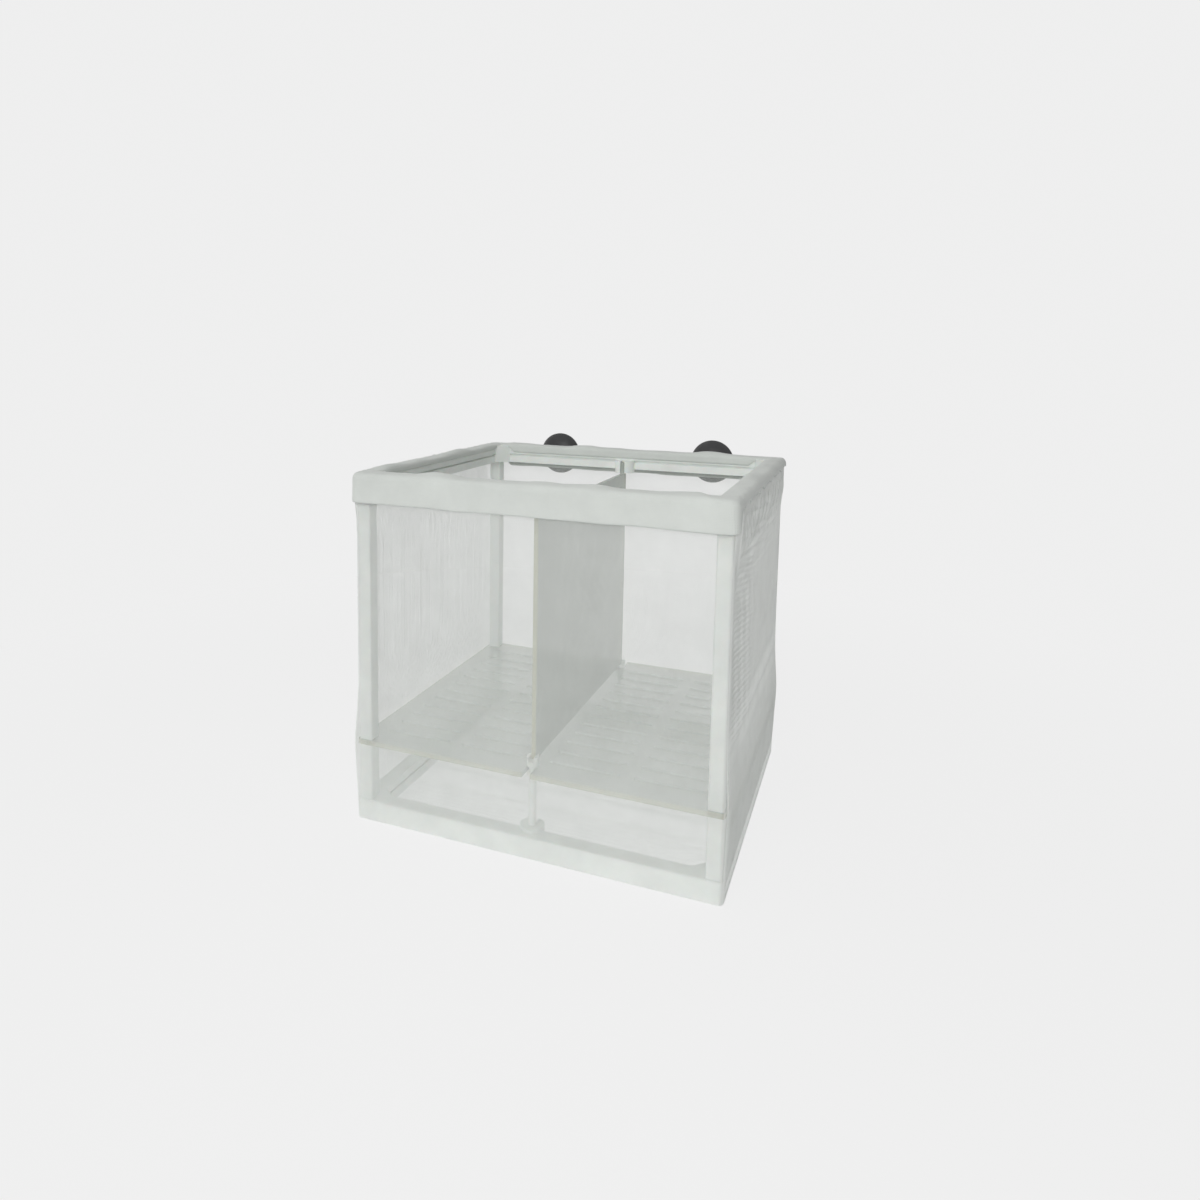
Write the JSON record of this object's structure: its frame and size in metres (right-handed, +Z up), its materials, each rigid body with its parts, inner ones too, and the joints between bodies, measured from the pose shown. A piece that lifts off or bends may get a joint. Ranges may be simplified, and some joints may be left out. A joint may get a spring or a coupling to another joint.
{
  "type": "aquarium breeding net",
  "caption": "Box-shaped aquarium breeding net: moulded frame in a fine mesh bag with a fabric collar, slotted see-through floor, lift-out divider and suction cups for the tank wall.",
  "frame": {"origin": "middle of the base, on the underside of the mesh floor and midway between the outer faces of the front and rear collar", "axes": "+X to the right across the front, +Y to the rear where the suction cups are, +Z up"},
  "size_m": [0.16, 0.1501, 0.1577],
  "materials": {
    "moulded_plastic": "satin moulded",
    "clear_plate": "tinted see-through sheet",
    "mesh": "fine sheer mesh",
    "collar_cloth": "white woven hem",
    "black_rubber": "soft black"
  },
  "bodies": {
    "frame": {"top_frame": "moulded_plastic", "bottom_frame": "moulded_plastic", "lower_post_front_left": "moulded_plastic", "upper_post_front_left": "moulded_plastic", "lower_post_front_right": "moulded_plastic", "upper_post_front_right": "moulded_plastic", "lower_post_rear_left": "moulded_plastic", "upper_post_rear_left": "moulded_plastic", "lower_post_rear_right": "moulded_plastic", "upper_post_rear_right": "moulded_plastic", "front_rod": "moulded_plastic", "rear_rod": "moulded_plastic", "floor_plate": "clear_plate", "net_front": "mesh", "net_rear": "mesh", "net_left": "mesh", "net_right": "mesh", "net_bottom": "mesh", "collar_front": "collar_cloth", "collar_rear": "collar_cloth", "collar_left": "collar_cloth", "collar_right": "collar_cloth"},
    "divider": {"divider_plate": "clear_plate"},
    "cup_left": {"suction_cup_left": "black_rubber"},
    "cup_right": {"suction_cup_right": "black_rubber"}
  },
  "joints": [
    {"name": "divider_lift", "type": "slide", "parent": "frame", "child": "divider", "axis": [0, 0, 1], "range_m": [0, 0.118]},
    {"name": "cup_left_swivel", "type": "hinge", "parent": "frame", "child": "cup_left", "pos_m": [-0.042, 0.0698, 0.1467], "axis": [0, 1, 0], "continuous": true},
    {"name": "cup_right_swivel", "type": "hinge", "parent": "frame", "child": "cup_right", "pos_m": [0.042, 0.0698, 0.1467], "axis": [0, 1, 0], "continuous": true}
  ]
}
